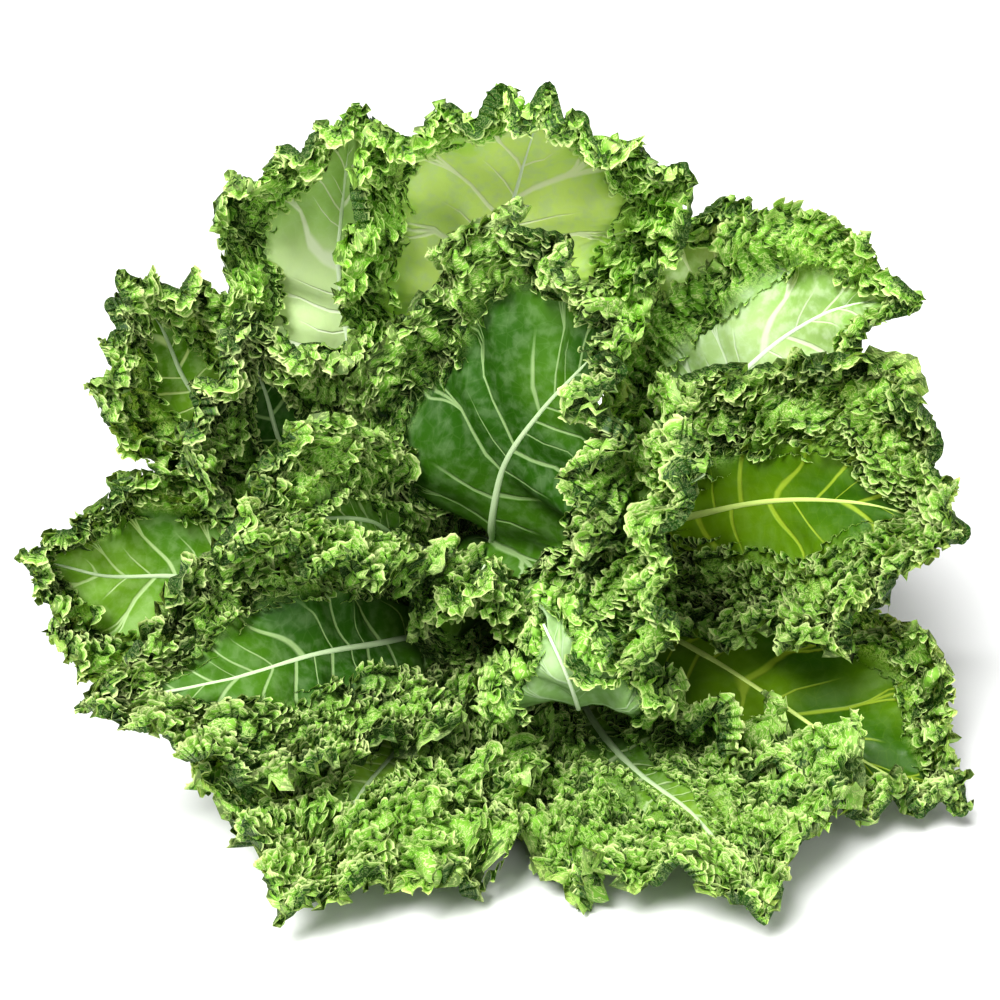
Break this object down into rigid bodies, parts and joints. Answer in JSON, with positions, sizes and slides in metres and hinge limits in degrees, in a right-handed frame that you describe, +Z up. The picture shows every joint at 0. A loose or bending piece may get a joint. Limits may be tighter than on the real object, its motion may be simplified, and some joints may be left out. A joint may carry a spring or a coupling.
{
  "type": "kale bunch",
  "caption": "Bunch of cut curly kale leaves with frilled edges, their stems held by a band, lying on its side on a surface.",
  "frame": {"origin": "the middle of the bunch's footprint, on the surface that it lies on", "axes": "+Z up; the stems run towards +Y and the leaf ends face -Y; +X is to the right seen from the leaf end"},
  "size_m": [0.4228, 0.4042, 0.3075],
  "materials": {
    "leaf_green": "fresh leaf, waxy, semi matt, paler veins and frill tips",
    "leaf_deep": "fresh leaf, waxy, semi matt, dark blade with pale veins",
    "leaf_bright": "fresh leaf, light shining through it, yellow green",
    "leaf_pale": "fresh leaf with a whitish bloom, matt",
    "band": "matt rubber"
  },
  "bodies": {
    "root": {"leaf_top": "leaf_green", "leaf_upper_left": "leaf_pale", "leaf_upper_back": "leaf_pale", "leaf_left_upper": "leaf_green", "leaf_left_middle": "leaf_deep", "leaf_centre": "leaf_deep", "leaf_upper_right": "leaf_pale", "leaf_left_edge": "leaf_deep", "leaf_inner_left": "leaf_green", "leaf_small_centre": "leaf_green", "leaf_inner_right": "leaf_green", "leaf_right": "leaf_bright", "leaf_lower_left": "leaf_green", "leaf_small_front": "leaf_pale", "leaf_lower_right": "leaf_bright", "leaf_floor_left": "leaf_green", "leaf_floor_right": "leaf_green", "rubber_band": "band"}
  },
  "joints": []
}
